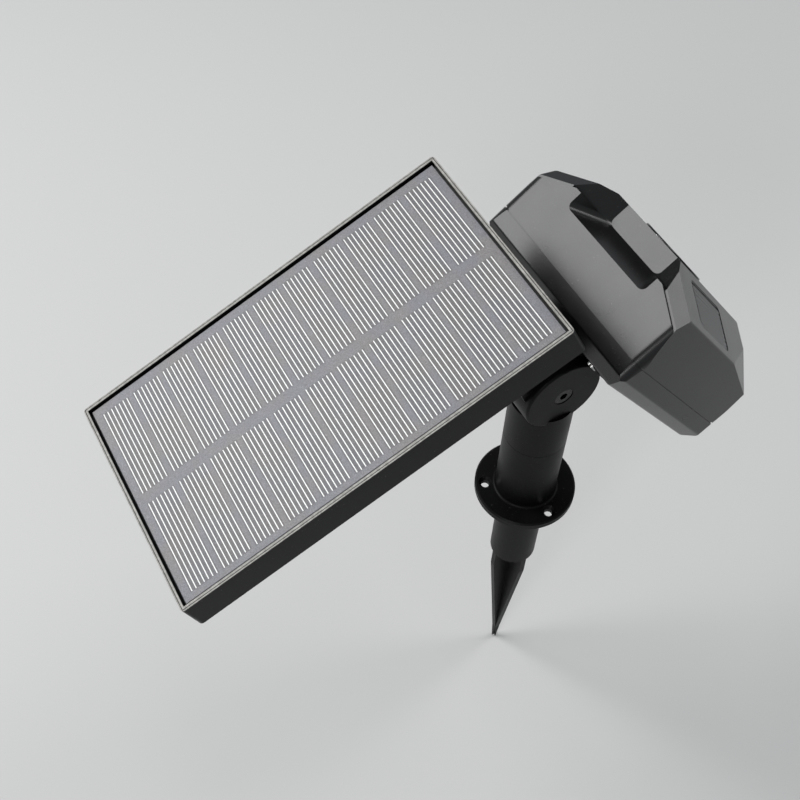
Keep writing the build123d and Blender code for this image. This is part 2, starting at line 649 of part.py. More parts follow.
# ---------------------------------------------------------------- head bracket
BRACKET_PLATE = 3.0
BRACKET_SIZE = (44.0, 34.0)
NECK_HEIGHT = 24.0            # of the web between lug and plate
with BuildPart() as head_bracket:
    with BuildSketch(hinge_plane(knuckle, -HEAD_LUG_HALF)):
        Circle(LUG_RADIUS)
    extrude(amount=2 * HEAD_LUG_HALF)
    with BuildSketch(HEAD.offset(-HEAD_STANDOFF + 4)):
        Rectangle(2 * HEAD_LUG_HALF, NECK_HEIGHT)
    extrude(amount=HEAD_STANDOFF - 5)
    with BuildSketch(HEAD.offset(-BRACKET_PLATE)):
        RectangleRounded(*BRACKET_SIZE, 4)
    extrude(amount=BRACKET_PLATE)
    with BuildSketch(hinge_plane(knuckle, -HEAD_LUG_HALF)):
        Circle(BOLT_RADIUS + RUNNING_FIT)
    extrude(amount=2 * HEAD_LUG_HALF, mode=Mode.SUBTRACT)
    with BuildSketch(HEAD):
        with GridLocations(2 * BRACKET_HOLE_X, 2 * BRACKET_HOLE_H, 2, 2):
            Circle(1.6)
    extrude(amount=-BRACKET_PLATE, mode=Mode.SUBTRACT)
export(head_bracket, "head_bracket")


def screw_group(plane, spots, shank_radius, length, head_radius, head_depth, socket):
    """Identical screws on one plane, kept as separate solids."""
    screw = pan_screw(Plane.XY, shank_radius, length, head_radius, head_depth, socket)
    with BuildPart() as group:
        with Locations(plane):
            with Locations(*spots):
                add(screw)
    return group.part


bracket_back = Plane(origin=HEAD.origin - HEAD_FORWARD * BRACKET_PLATE, x_dir=X_DIR, z_dir=-HEAD_FORWARD)
bracket_spots = [(side * BRACKET_HOLE_X, end * BRACKET_HOLE_H) for side in (-1, 1) for end in (-1, 1)]
bracket_screw_blanks = screw_group(bracket_back, bracket_spots, 1.25, 6.2, 2.4, 1.6, 1.2)
with BuildPart() as head_bracket_screws:
    add(bracket_screw_blanks)
export(head_bracket_screws, "head_bracket_screws")

clamp_plane = Plane(origin=HEAD.origin + HEAD_FORWARD * CLAMP_SEAT, x_dir=X_DIR, z_dir=-HEAD_FORWARD)
clamp_blanks = screw_group(clamp_plane, corner_spots, 1.3, 28.5, 2.8, 2.0, 1.5)
with BuildPart() as head_clamp_screws:
    add(clamp_blanks)
export(head_clamp_screws, "head_clamp_screws")

# ---------------------------------------------------------------- lights
CHIP_ROWS = 3
CHIP_PITCH = 11.5
CHIP_COLUMNS = 2
CHIP_GAP = 8.6
REFLECTOR_CUP = (7.8, 9.4)     # mouth of one chip's reflector
CHIP_SIZE = (2.8, 3.5)
REFLECTOR_DEPTH = 5.0
REFLECTOR_BACK = 7.2
BOARD_THICKNESS = 1.2
for side, word in ((-1, "right"), (1, "left")):
    with BuildPart() as light_cover:
        with BuildSketch(wing(side, -1.9)):
            RectangleRounded(LIGHT_COVER[0] - 0.3, LIGHT_COVER[1] - 0.3, 2.9)
        extrude(amount=1.7)
    export(light_cover, f"{word}_light_cover")

    with BuildPart() as reflector:
        with BuildSketch(wing(side, -REFLECTOR_BACK)):
            RectangleRounded(LIGHT_WINDOW[0] - 0.5, LIGHT_WINDOW[1] - 0.5, 1.8)
        extrude(amount=REFLECTOR_DEPTH)
        with BuildSketch(wing(side, REFLECTOR_DEPTH - REFLECTOR_BACK)):
            with GridLocations(CHIP_GAP, CHIP_PITCH, CHIP_COLUMNS, CHIP_ROWS):
                Rectangle(*REFLECTOR_CUP)
        extrude(amount=-REFLECTOR_DEPTH, taper=18, mode=Mode.SUBTRACT)
    export(reflector, f"{word}_reflector")

    with BuildPart() as light_board:
        with BuildSketch(wing(side, -REFLECTOR_BACK)):
            Rectangle(LIGHT_WINDOW[0], LIGHT_WINDOW[1] - 1)
        extrude(amount=-BOARD_THICKNESS)
    export(light_board, f"{word}_light_board")

    with BuildPart() as light_chips:
        with BuildSketch(wing(side, -REFLECTOR_BACK)):
            with GridLocations(CHIP_GAP, CHIP_PITCH, CHIP_COLUMNS, CHIP_ROWS):
                Rectangle(*CHIP_SIZE)
        extrude(amount=0.8)
    export(light_chips, f"{word}_light_chips")


def front_spot(height):
    """Plane on the flat middle of the front, centred at a height."""
    return Plane(
        origin=HEAD.origin + HEAD_UP * height + HEAD_FORWARD * HEAD_DEPTH,
        x_dir=X_DIR,
        z_dir=HEAD_FORWARD,
    )


def front_circles(builder):
    """A sub-part's round edges, from back to front."""
    return builder.edges().filter_by(GeomType.CIRCLE).sort_by(Axis(HEAD.origin, HEAD_FORWARD))


# ---------------------------------------------------------------- camera
camera_front = front_spot(CAMERA_HEIGHT)
with BuildPart() as camera_glass:
    with BuildSketch(camera_front.offset(-1.7)):
        Circle(CAMERA_GLASS_RADIUS)
    extrude(amount=1.5)
export(camera_glass, "camera_glass")

with BuildPart() as camera_ring:
    with BuildSketch(camera_front):
        Circle(CAMERA_GLASS_RADIUS + 2.2)
        Circle(CAMERA_GLASS_RADIUS - 1.0, mode=Mode.SUBTRACT)
    extrude(amount=0.8)
    chamfer(front_circles(camera_ring)[-2:], 0.4)
export(camera_ring, "camera_ring")

BARREL_RADIUS = 6.5
BARREL_DEPTH = 14.5           # its foot, behind the front
LENS_RADIUS = 4.6
with BuildPart() as lens_barrel:
    with BuildSketch(camera_front.offset(-BARREL_DEPTH)):
        Circle(BARREL_RADIUS)
        Circle(LENS_RADIUS, mode=Mode.SUBTRACT)
    extrude(amount=11.5)
    with BuildSketch(camera_front.offset(-BARREL_DEPTH)):
        Rectangle(16, 13)
        Circle(LENS_RADIUS, mode=Mode.SUBTRACT)
    extrude(amount=4)
    chamfer(front_circles(lens_barrel)[-1:], 0.8)
export(lens_barrel, "lens_barrel")

with BuildPart() as camera_lens:
    with BuildSketch(camera_front.offset(-9)):
        Circle(LENS_RADIUS - RUNNING_FIT)
    extrude(amount=4.5)
    fillet(front_circles(camera_lens)[-1:], 1.6)
export(camera_lens, "camera_lens")

with BuildPart() as sensor_board:
    with BuildSketch(camera_front.offset(-BARREL_DEPTH - BOARD_THICKNESS)):
        RectangleRounded(24, 20, 1)
    extrude(amount=BOARD_THICKNESS)
    with BuildSketch(camera_front.offset(-BARREL_DEPTH)):
        Rectangle(5.6, 4.2)
    extrude(amount=0.9)
export(sensor_board, "sensor_board")

IR_RING_RADIUS = 9.6
with BuildPart() as infrared_board:
    with BuildSketch(camera_front.offset(-7)):
        Circle(12.2)
        Circle(BARREL_RADIUS + 0.4, mode=Mode.SUBTRACT)
    extrude(amount=-1.0)
export(infrared_board, "infrared_board")

with BuildPart() as infrared_leds:
    with BuildSketch(camera_front.offset(-7)):
        with PolarLocations(IR_RING_RADIUS, 8):
            Circle(1.6)
    extrude(amount=3.2)
    domes = infrared_leds.edges().filter_by(GeomType.CIRCLE)
    fillet(domes.filter_by(lambda edge: camera_front.to_local_coords(edge.center()).Z > -4), 1.2)
export(infrared_leds, "infrared_leds")

# ---------------------------------------------------------------- motion sensor
motion_front = front_spot(MOTION_HEIGHT)
with BuildPart() as motion_lens:
    with BuildSketch(motion_front.offset(-5)):
        Circle(MOTION_RADIUS + 1.4)
    extrude(amount=1.4)
    with BuildSketch(motion_front.offset(-3.6)):
        Circle(MOTION_RADIUS)
    extrude(amount=3.9)
    fillet(front_circles(motion_lens)[-1:], 2.4)
    with BuildSketch(motion_front.offset(-5)):
        Circle(MOTION_RADIUS - 1.6)
    extrude(amount=3.8, mode=Mode.SUBTRACT)
export(motion_lens, "motion_lens")

with BuildPart() as motion_sensor:
    with BuildSketch(motion_front.offset(-10)):
        RectangleRounded(24, 22, 1)
    extrude(amount=-BOARD_THICKNESS)
    with BuildSketch(motion_front.offset(-10)):
        Circle(4.6)
    extrude(amount=4.4)
export(motion_sensor, "motion_sensor")

with BuildPart() as status_light:
    with BuildSketch(front_spot(STATUS_HEIGHT).offset(-7)):
        Circle(STATUS_RADIUS - RUNNING_FIT)
    extrude(amount=7.2)
    with BuildSketch(front_spot(STATUS_HEIGHT).offset(-6)):
        Circle(2.2)
    extrude(amount=2.4)
export(status_light, "status_light")

with BuildPart() as microphone:
    with BuildSketch(front_spot(MICROPHONE_HEIGHT).offset(-5.8)):
        Circle(3.0)
    extrude(amount=2.2)
    with BuildSketch(front_spot(MICROPHONE_HEIGHT).offset(-3.6)):
        Circle(0.6)
    extrude(amount=-0.6, mode=Mode.SUBTRACT)
export(microphone, "microphone")

# ---------------------------------------------------------------- inside the head
MAIN_BOARD = (72.0, 76.0, 1.6)
MAIN_BOARD_V = 27.0
board_front = HEAD.offset(MAIN_BOARD_V + MAIN_BOARD[2])
with BuildPart() as main_board:
    with BuildSketch(HEAD.offset(MAIN_BOARD_V)):
        Rectangle(MAIN_BOARD[0], MAIN_BOARD[1])
    extrude(amount=MAIN_BOARD[2])
    with BuildSketch(board_front):
        with Locations((0, 8)):
            Rectangle(14, 14)
        with Locations((22, 24), (-24, 22)):
            Rectangle(9, 9)
    extrude(amount=1.4)
    with BuildSketch(board_front):
        with Locations((-22, -20)):
            Rectangle(18, 16)
    extrude(amount=2.4)
export(main_board, "main_board")

CELL_RADIUS = 9.2
CELL_LENGTH = 65.0
CELL_V = 15.0
CELL_HEIGHTS = (-8.0, -28.0)


def cell_end(height, overrun):
    """Plane at a battery cell's right-hand end, facing along the cell."""
    middle = HEAD.origin + HEAD_UP * height + HEAD_FORWARD * CELL_V
    return Plane(origin=middle - X_DIR * (CELL_LENGTH / 2 + overrun), x_dir=(0, 1, 0), z_dir=X_DIR)


with BuildPart() as battery_cells:
    for height in CELL_HEIGHTS:
        with BuildSketch(cell_end(height, 0)):
            Circle(CELL_RADIUS)
        extrude(amount=CELL_LENGTH)
export(battery_cells, "battery_cells")

with BuildPart() as battery_holder:
    with BuildSketch(HEAD.offset(5.2)):
        with Locations((0, -18)):
            Rectangle(CELL_LENGTH + 5, 40)
    extrude(amount=7.5)
    for height in CELL_HEIGHTS:
        with BuildSketch(cell_end(height, GAP)):
            Circle(CELL_RADIUS + 0.2)
        extrude(amount=CELL_LENGTH + 2 * GAP, mode=Mode.SUBTRACT)
export(battery_holder, "battery_holder")

with BuildPart() as speaker:
    with BuildSketch(HEAD.offset(WALL + 0.1)):
        with Locations(SPEAKER_SPOT):
            Circle(9)
    extrude(amount=2.6)
    with BuildSketch(HEAD.offset(WALL + 2.7)):
        with Locations(SPEAKER_SPOT):
            Circle(5)
    extrude(amount=2.4)
export(speaker, "speaker")

with BuildPart() as head_gland:
    with BuildSketch(HEAD.offset(-2.2)):
        with Locations(GLAND_SPOT):
            Circle(4.4)
    extrude(amount=2.2)
    chamfer(front_circles(head_gland)[0], 1.2)
    with BuildSketch(HEAD):
        with Locations(GLAND_SPOT):
            Circle(GLAND_RADIUS - RUNNING_FIT)
    extrude(amount=WALL + 1.2)
    with BuildSketch(HEAD.offset(-2.2)):
        with Locations(GLAND_SPOT):
            Circle(1.2)
    extrude(amount=10, mode=Mode.SUBTRACT)
export(head_gland, "head_gland")

ANTENNA_X = -46.1             # against the inside of the side wall
ANTENNA_V = 22.0
antenna_seat = HEAD.origin + X_DIR * ANTENNA_X + HEAD_FORWARD * ANTENNA_V
with BuildPart() as antenna:
    with BuildSketch(Plane(origin=antenna_seat, x_dir=HEAD_FORWARD, z_dir=-X_DIR)):
        Rectangle(8, 42)
    extrude(amount=0.4)
export(antenna, "antenna")

# ---------------------------------------------------------------- controls underneath
CONTROL_BOARD_HEIGHT = 41.4
control_board_face = Plane(
    origin=HEAD.origin - HEAD_UP * CONTROL_BOARD_HEIGHT + HEAD_FORWARD * BUTTON_V,
    x_dir=X_DIR,
    z_dir=-HEAD_UP,
)
with BuildPart() as control_board:
    with BuildSketch(control_board_face):
        with Locations((-2, 0)):
            Rectangle(58, 13)
    extrude(amount=-BOARD_THICKNESS)
    with BuildSketch(control_board_face):
        with Locations((BUTTON_X, 0)):
            Rectangle(6, 6)
    extrude(amount=4.0)
export(control_board, "control_board")

with BuildPart() as charging_socket:
    with BuildSketch(control_board_face):
        with Locations((PORT_X, 0)):
            RectangleRounded(9, 3.4, 1.5)
    extrude(amount=6)
    with BuildSketch(control_board_face.offset(6)):
        with Locations((PORT_X, 0)):
            RectangleRounded(8.2, 2.6, 1.2)
    extrude(amount=-5, mode=Mode.SUBTRACT)
export(charging_socket, "charging_socket")

with BuildPart() as port_cover:
    with BuildSketch(bottom_outside):
        with Locations((PORT_X, BUTTON_V)):
            RectangleRounded(17, 10, 3)
    extrude(amount=1.1)
    with BuildSketch(bottom_outside):
        with Locations((PORT_X, BUTTON_V)):
            RectangleRounded(12.8, 6.8, 1.4)
    extrude(amount=-WALL)
export(port_cover, "port_cover")

BUTTON_PROUD = 0.7
with BuildPart() as power_button:
    with BuildSketch(bottom_outside.offset(BUTTON_PROUD)):
        with Locations((BUTTON_X, BUTTON_V)):
            Circle(BUTTON_RADIUS)
    extrude(amount=-WALL - 1.9)
    fillet(power_button.edges().filter_by(GeomType.CIRCLE).sort_by(Axis(HEAD.origin, HEAD_UP))[0], 0.5)
    with BuildSketch(bottom_outside.offset(-WALL - 0.6)):
        with Locations((BUTTON_X, BUTTON_V)):
            Circle(BUTTON_RADIUS + 1.1)
    extrude(amount=-0.6)
export(power_button, "power_button")


# ================================================================ solar panel
RIM = 1.6                     # raised rim's width
GROOVE = 1.0                  # groove between rim and laminate
LAMINATE_DROP = 1.2           # laminate below the rim
FILM_THICKNESS = 0.3
CELL_THICKNESS = 0.2
BACKING_THICKNESS = 1.1
TRAY_FLARE = 0.8              # the skirt's outward flare at the bottom
SHELF_THICKNESS = 1.6
COVER_THICKNESS = 2.0
COVER_GASKET = 0.6
SHELF = LAMINATE_DROP + FILM_THICKNESS + CELL_THICKNESS + BACKING_THICKNESS
LEDGE = PANEL_HEIGHT - COVER_THICKNESS - COVER_GASKET


def panel_size(inset):
    """The panel's width and length, drawn in by an inset all round."""
    return (PANEL_WIDTH - 2 * inset, PANEL_LENGTH - 2 * inset)


laminate_size = panel_size(RIM + GROOVE)
cavity_size = panel_size(3.0)
cover_seat_size = panel_size(1.3)
COVER_SCREW_GRID = (88.0, 53.2, 2, 4)

with BuildPart() as panel_tray:
    with BuildSketch(PANEL):
        RectangleRounded(PANEL_WIDTH, PANEL_LENGTH, 1.6)
    with BuildSketch(PANEL.offset(-PANEL_HEIGHT)):
        RectangleRounded(PANEL_WIDTH + 2 * TRAY_FLARE, PANEL_LENGTH + 2 * TRAY_FLARE, 1.8)
    loft()
    with BuildSketch(PANEL):
        Rectangle(*panel_size(RIM))
    extrude(amount=-SHELF + 0.4, mode=Mode.SUBTRACT)
    with BuildSketch(PANEL):
        Rectangle(*panel_size(0.5))
        Rectangle(*panel_size(0.8), mode=Mode.SUBTRACT)
    extrude(amount=-0.3, mode=Mode.SUBTRACT)
    with BuildSketch(PANEL):
        Rectangle(laminate_size[0] + 0.2, laminate_size[1] + 0.2)
    extrude(amount=-SHELF, mode=Mode.SUBTRACT)
    with BuildSketch(PANEL):
        Rectangle(*panel_size(RIM + GROOVE + 2.6))
    extrude(amount=-PANEL_HEIGHT, mode=Mode.SUBTRACT)
    with BuildSketch(PANEL.offset(-SHELF - SHELF_THICKNESS)):
        Rectangle(*cavity_size)
    extrude(amount=-PANEL_HEIGHT, mode=Mode.SUBTRACT)
    with BuildSketch(PANEL.offset(-SHELF - SHELF_THICKNESS)):
        with GridLocations(*COVER_SCREW_GRID):
            Circle(3.4)
    extrude(amount=-(LEDGE - SHELF - SHELF_THICKNESS))
    with BuildSketch(PANEL.offset(-LEDGE)):
        RectangleRounded(*cover_seat_size, 1.0)
    extrude(amount=-PANEL_HEIGHT, mode=Mode.SUBTRACT)
    with BuildSketch(PANEL.offset(-LEDGE)):
        with GridLocations(*COVER_SCREW_GRID):
            Circle(1.12)
    extrude(amount=6, mode=Mode.SUBTRACT)
export(panel_tray, "panel_tray")

with BuildPart() as laminate_backing:
    with BuildSketch(PANEL.offset(-SHELF)):
        RectangleRounded(*laminate_size, 0.8)
    extrude(amount=BACKING_THICKNESS)
export(laminate_backing, "laminate_backing")

CELL_PITCH = 14.74
CELL_STRIP = (41.5, 13.6)     # across and along the panel
CELL_COUNT = 11
CELL_ROW_MIDDLES = (22.75, -24.0)
FIRST_CELL = PANEL_LENGTH / 2 - 12.06
with BuildPart() as solar_cells:
    with BuildSketch(PANEL.offset(-SHELF + BACKING_THICKNESS)):
        for row_middle in CELL_ROW_MIDDLES:
            with Locations(*[(row_middle, FIRST_CELL - i * CELL_PITCH) for i in range(CELL_COUNT)]):
                Rectangle(*CELL_STRIP)
    extrude(amount=CELL_THICKNESS)
export(solar_cells, "solar_cells")

with BuildPart() as laminate_film:
    with BuildSketch(PANEL.offset(-LAMINATE_DROP)):
        RectangleRounded(*laminate_size, 0.8)
    extrude(amount=-FILM_THICKNESS)
export(laminate_film, "laminate_film")

with BuildPart() as cover_gasket:
    with BuildSketch(PANEL.offset(-LEDGE)):
        RectangleRounded(*panel_size(1.5), 1.0)
        Rectangle(*panel_size(2.9), mode=Mode.SUBTRACT)
    extrude(amount=-COVER_GASKET)
export(cover_gasket, "cover_gasket")

HINGE_Y = PANEL_HINGE_INSET - PANEL_LENGTH / 2
BRACKET_SCREW_GRID = (34.0, 26.0, 2, 2)
PANEL_PLATE = 2.5
PANEL_PLATE_SIZE = (44.0, 36.0)
CHARGE_BOARD = (46.0, 26.0)
CHARGE_STANDOFF = 4.5
GLAND_Y = HINGE_Y + 27
BOARD_Y = 22.0
with BuildPart() as bottom_cover:
    with BuildSketch(PANEL.offset(-PANEL_HEIGHT)):
        RectangleRounded(*panel_size(1.4), 1.0)
    extrude(amount=COVER_THICKNESS)
    with BuildSketch(PANEL.offset(-PANEL_HEIGHT + COVER_THICKNESS)):
        with Locations((0, HINGE_Y)):
            with GridLocations(*BRACKET_SCREW_GRID):
                Circle(3.2)
        with Locations((0, BOARD_Y)):
            with GridLocations(40, 20, 2, 2):
                Circle(2.4)
    extrude(amount=CHARGE_STANDOFF)
    with BuildSketch(PANEL.offset(-PANEL_HEIGHT)):
        with GridLocations(*COVER_SCREW_GRID):
            Circle(1.3)
        with Locations((0, HINGE_Y)):
            with GridLocations(*BRACKET_SCREW_GRID):
                Circle(1.32)
        with Locations((0, GLAND_Y)):
            Circle(GLAND_RADIUS)
    extrude(amount=6, mode=Mode.SUBTRACT)
    with BuildSketch(PANEL.offset(-PANEL_HEIGHT)):
        with GridLocations(*COVER_SCREW_GRID):
            Circle(2.5)
    extrude(amount=0.9, mode=Mode.SUBTRACT)
export(bottom_cover, "bottom_cover")

PANEL_BELOW = Plane(origin=PANEL.origin - PANEL_NORMAL * PANEL_HEIGHT, x_dir=X_DIR, z_dir=-PANEL_NORMAL)
grid_x, grid_y = COVER_SCREW_GRID[0] / 2, COVER_SCREW_GRID[1]
cover_spots = [(x, y * grid_y) for x in (-grid_x, grid_x) for y in (-1.5, -0.5, 0.5, 1.5)]
cover_screw_blanks = screw_group(PANEL_BELOW.offset(-0.9), cover_spots, 1.1, 7.0, 2.3, 0.8, 1.1)
with BuildPart() as bottom_cover_screws:
    add(cover_screw_blanks)
export(bottom_cover_screws, "bottom_cover_screws")

charge_seat = PANEL.offset(-PANEL_HEIGHT + COVER_THICKNESS + CHARGE_STANDOFF)
with BuildPart() as charge_board:
    with BuildSketch(charge_seat):
        with Locations((0, BOARD_Y)):
            Rectangle(*CHARGE_BOARD)
    extrude(amount=BOARD_THICKNESS)
    with BuildSketch(charge_seat.offset(BOARD_THICKNESS)):
        with Locations((-12, BOARD_Y), (12, BOARD_Y)):
            Rectangle(8, 8)
    extrude(amount=2.5)
export(charge_board, "charge_board")

with BuildPart() as panel_gland:
    with BuildSketch(PANEL_BELOW):
        with Locations((0, -GLAND_Y)):
            Circle(4.4)
    extrude(amount=2.2)
    with BuildSketch(PANEL_BELOW):
        with Locations((0, -GLAND_Y)):
            Circle(GLAND_RADIUS - RUNNING_FIT)
    extrude(amount=-COVER_THICKNESS - 1.2)
    with BuildSketch(PANEL_BELOW.offset(2.2)):
        with Locations((0, -GLAND_Y)):
            Circle(1.2)
    extrude(amount=-10, mode=Mode.SUBTRACT)
export(panel_gland, "panel_gland")

# ---------------------------------------------------------------- panel bracket
PANEL_EAR_RADIUS = 9.0
PANEL_EAR_INNER = 7.2
PANEL_EAR_OUTER = 12.0
PANEL_PIVOT_RADIUS = 2.0
with BuildPart() as panel_bracket:
    with BuildSketch(PANEL_BELOW):
        with Locations((0, -HINGE_Y)):
            RectangleRounded(*PANEL_PLATE_SIZE, 4)
    extrude(amount=PANEL_PLATE)
    for side in (-1, 1):
        ear_face = Plane(
            origin=panel_hinge + X_DIR * (side * PANEL_EAR_INNER), x_dir=PANEL_DOWN, z_dir=X_DIR * side
        )
        with BuildSketch(ear_face):
            Circle(PANEL_EAR_RADIUS)
        extrude(amount=PANEL_EAR_OUTER - PANEL_EAR_INNER)
        with BuildSketch(PANEL_BELOW.offset(PANEL_PLATE - 0.5)):
            with Locations((side * (PANEL_EAR_INNER + PANEL_EAR_OUTER) / 2, -HINGE_Y)):
                Rectangle(PANEL_EAR_OUTER - PANEL_EAR_INNER, 2 * PANEL_EAR_RADIUS)
        extrude(amount=PANEL_HINGE_DROP - PANEL_PLATE + 0.5)
    with BuildSketch(hinge_plane(panel_hinge, -PANEL_EAR_OUTER)):
        Circle(PANEL_PIVOT_RADIUS + RUNNING_FIT)
    extrude(amount=2 * PANEL_EAR_OUTER, mode=Mode.SUBTRACT)
    with BuildSketch(PANEL_BELOW):
        with Locations((0, -HINGE_Y)):
            with GridLocations(*BRACKET_SCREW_GRID):
                Circle(1.6)
    extrude(amount=PANEL_PLATE, mode=Mode.SUBTRACT)
export(panel_bracket, "panel_bracket")

plate_x, plate_y = BRACKET_SCREW_GRID[0] / 2, BRACKET_SCREW_GRID[1] / 2
plate_spots = [(x, -HINGE_Y + y) for x in (-plate_x, plate_x) for y in (-plate_y, plate_y)]
plate_screw_blanks = screw_group(PANEL_BELOW.offset(PANEL_PLATE), plate_spots, 1.3, 8.0, 2.6, 1.6, 1.3)
with BuildPart() as panel_bracket_screws:
    add(plate_screw_blanks)
export(panel_bracket_screws, "panel_bracket_screws")

panel_pivot_seat = hinge_plane(panel_hinge, -PANEL_EAR_OUTER, -1)
panel_pivot_blank = pan_screw(panel_pivot_seat, PANEL_PIVOT_RADIUS, 27.6, 3.8, 2.6, 1.7)
with BuildPart() as panel_pivot_screw:
    add(panel_pivot_blank)
export(panel_pivot_screw, "panel_pivot_screw")

with BuildPart() as panel_pivot_nut:
    with BuildSketch(hinge_plane(panel_hinge, PANEL_EAR_OUTER + 0.02)):
        RegularPolygon(3.5, 6, major_radius=False)
        Circle(PANEL_PIVOT_RADIUS + 0.01, mode=Mode.SUBTRACT)
    extrude(amount=3.2)
export(panel_pivot_nut, "panel_pivot_nut")

with BuildPart() as panel_friction_washers:
    for side in (-1, 1):
        with BuildSketch(hinge_plane(panel_hinge, side * 7.0 - 0.15)):
            Circle(6.0)
            Circle(PANEL_PIVOT_RADIUS + RUNNING_FIT, mode=Mode.SUBTRACT)
        extrude(amount=0.3)
export(panel_friction_washers, "panel_friction_washers")
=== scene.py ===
"""Looks of the solar security camera: materials, the panel's printed face, and small moulded detail.

Everything is in metres, in the CAD model's own frame: +Z up the post, the camera looks towards -Y and up,
and the solar panel reaches back over +Y.
"""
import json
import math
import random

import bmesh
import bpy
from mathutils import Matrix, Vector


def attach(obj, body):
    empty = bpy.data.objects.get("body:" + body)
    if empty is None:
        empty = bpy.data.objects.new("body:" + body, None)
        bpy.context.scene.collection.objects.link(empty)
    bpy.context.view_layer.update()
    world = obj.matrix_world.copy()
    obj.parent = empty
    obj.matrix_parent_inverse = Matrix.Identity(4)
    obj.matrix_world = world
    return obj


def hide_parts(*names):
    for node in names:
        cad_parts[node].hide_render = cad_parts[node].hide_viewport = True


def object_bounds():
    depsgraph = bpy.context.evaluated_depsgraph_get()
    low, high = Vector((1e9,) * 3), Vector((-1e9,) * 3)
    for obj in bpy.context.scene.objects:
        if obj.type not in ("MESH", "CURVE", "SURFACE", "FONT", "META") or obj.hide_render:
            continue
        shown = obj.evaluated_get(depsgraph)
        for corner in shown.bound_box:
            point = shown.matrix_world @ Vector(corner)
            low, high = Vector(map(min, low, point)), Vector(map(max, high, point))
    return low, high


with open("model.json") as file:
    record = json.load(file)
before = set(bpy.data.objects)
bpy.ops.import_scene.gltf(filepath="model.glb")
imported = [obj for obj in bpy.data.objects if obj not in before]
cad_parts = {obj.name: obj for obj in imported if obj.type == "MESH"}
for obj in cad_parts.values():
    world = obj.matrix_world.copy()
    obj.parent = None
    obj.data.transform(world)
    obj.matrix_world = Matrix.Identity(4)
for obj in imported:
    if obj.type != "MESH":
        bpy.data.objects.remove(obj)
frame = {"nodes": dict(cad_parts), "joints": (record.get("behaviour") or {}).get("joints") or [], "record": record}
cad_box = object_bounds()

MM = 0.001
NODES = frame["nodes"]
JOINTS = {joint["name"]: joint for joint in frame["joints"]}
scene = bpy.context.scene


# ================================================================ places, from the frame
PANEL_SLOPE = math.radians(23.7)
HEAD_PITCH = math.radians(36.9)
X_AXIS = Vector((1, 0, 0))
PANEL_NORMAL = Vector((0, math.sin(PANEL_SLOPE), math.cos(PANEL_SLOPE)))
PANEL_UPHILL = Vector((0, -math.cos(PANEL_SLOPE), math.sin(PANEL_SLOPE)))
HEAD_UP = Vector((0, math.sin(HEAD_PITCH), math.cos(HEAD_PITCH)))
HEAD_FORWARD = Vector((0, -math.cos(HEAD_PITCH), math.sin(HEAD_PITCH)))
KNUCKLE = Vector(JOINTS["head_tilt"]["pos_m"])
HEAD_STANDOFF = 24 * MM
HEAD_DEPTH = 53 * MM


def basis(origin, x, y, z):
    """Matrix of a local frame with these axes."""
    turn = Matrix((x, y, z)).transposed().to_4x4()
    return Matrix.Translation(origin) @ turn


def measured(node, axis):
    """Lowest and highest reach of a CAD node along an axis."""
    reach = [vertex.co.dot(axis) for vertex in NODES[node].data.vertices]
    return min(reach), max(reach)


film_low, film_high = measured("laminate_film", PANEL_NORMAL)
down_low, down_high = measured("laminate_film", -PANEL_UPHILL)
film_middle = PANEL_NORMAL * film_high + PANEL_UPHILL * (-(down_low + down_high) / 2)
PANEL = basis(film_middle, X_AXIS, PANEL_NORMAL.cross(X_AXIS), PANEL_NORMAL)
HEAD = basis(KNUCKLE + HEAD_FORWARD * HEAD_STANDOFF, X_AXIS, HEAD_UP, HEAD_FORWARD)
# PANEL: x across, y up the slope, z out of the laminate's face; HEAD: x, y up, z forward from the back wall.


# ================================================================ camera, floor and light
CAMERA_PLACE = Vector((-0.24986, 0.22644, 0.52519))
CAMERA_FORWARD = Vector((0.5046, -0.3021, -0.80877)).normalized()
CAMERA_RIGHT = Vector((-0.48377, -0.87484, 0.02495))
FOCAL_LENGTH = 54.0           # on a sensor 36 mm wide
SENSOR_WIDTH = 36.0


def add_camera():
    """The view from behind and above, past the panel's long side."""
    data = bpy.data.cameras.new("camera")
    data.lens = FOCAL_LENGTH
    data.sensor_width = SENSOR_WIDTH
    data.clip_start = 0.01
    camera = bpy.data.objects.new("camera", data)
    scene.collection.objects.link(camera)
    right = (CAMERA_RIGHT - CAMERA_FORWARD * CAMERA_RIGHT.dot(CAMERA_FORWARD)).normalized()
    camera.matrix_world = basis(CAMERA_PLACE, right, right.cross(CAMERA_FORWARD), -CAMERA_FORWARD)
    scene.camera = camera


LOOK_AT = Vector((0, 0.02, 0.12))
SOFTBOX_DISTANCE = 1.6
# Each softbox: its name, its direction from LOOK_AT, the side of its square and its power in watts.
# The key is mirrored by the head's flat top, the fill by the bezel's upper chamfer,
# and the small one by the rounded edge at the head's near end.
SOFTBOXES = (
    ("key_back", (0.50, 0.56, 0.66), 0.95, 18),
    ("fill_front", (-0.05, -0.65, 0.76), 0.7, 7),
    ("edge_side", (-0.46, 0.70, 0.53), 0.4, 5),
)


def add_softbox(name, direction, side, power):
    """A square area light that faces LOOK_AT."""
    data = bpy.data.lights.new(name, "AREA")
    data.shape = "RECTANGLE"
    data.size = data.size_y = side
    data.energy = power
    light = bpy.data.objects.new(name, data)
    scene.collection.objects.link(light)
    away = Vector(direction).normalized()
    light.location = LOOK_AT + away * SOFTBOX_DISTANCE
    light.rotation_euler = away.to_track_quat("Z", "Y").to_euler()


FLOOR_GAP = 0.0005
FLOOR_LEVEL = cad_box[0][2] - FLOOR_GAP
FLOOR_SIZE = 12
FLOOR_COLOUR = (0.62, 0.62, 0.61, 1)
SKY_COLOUR = (0.93, 0.96, 1.0, 1)
SKY_STRENGTH = 0.38


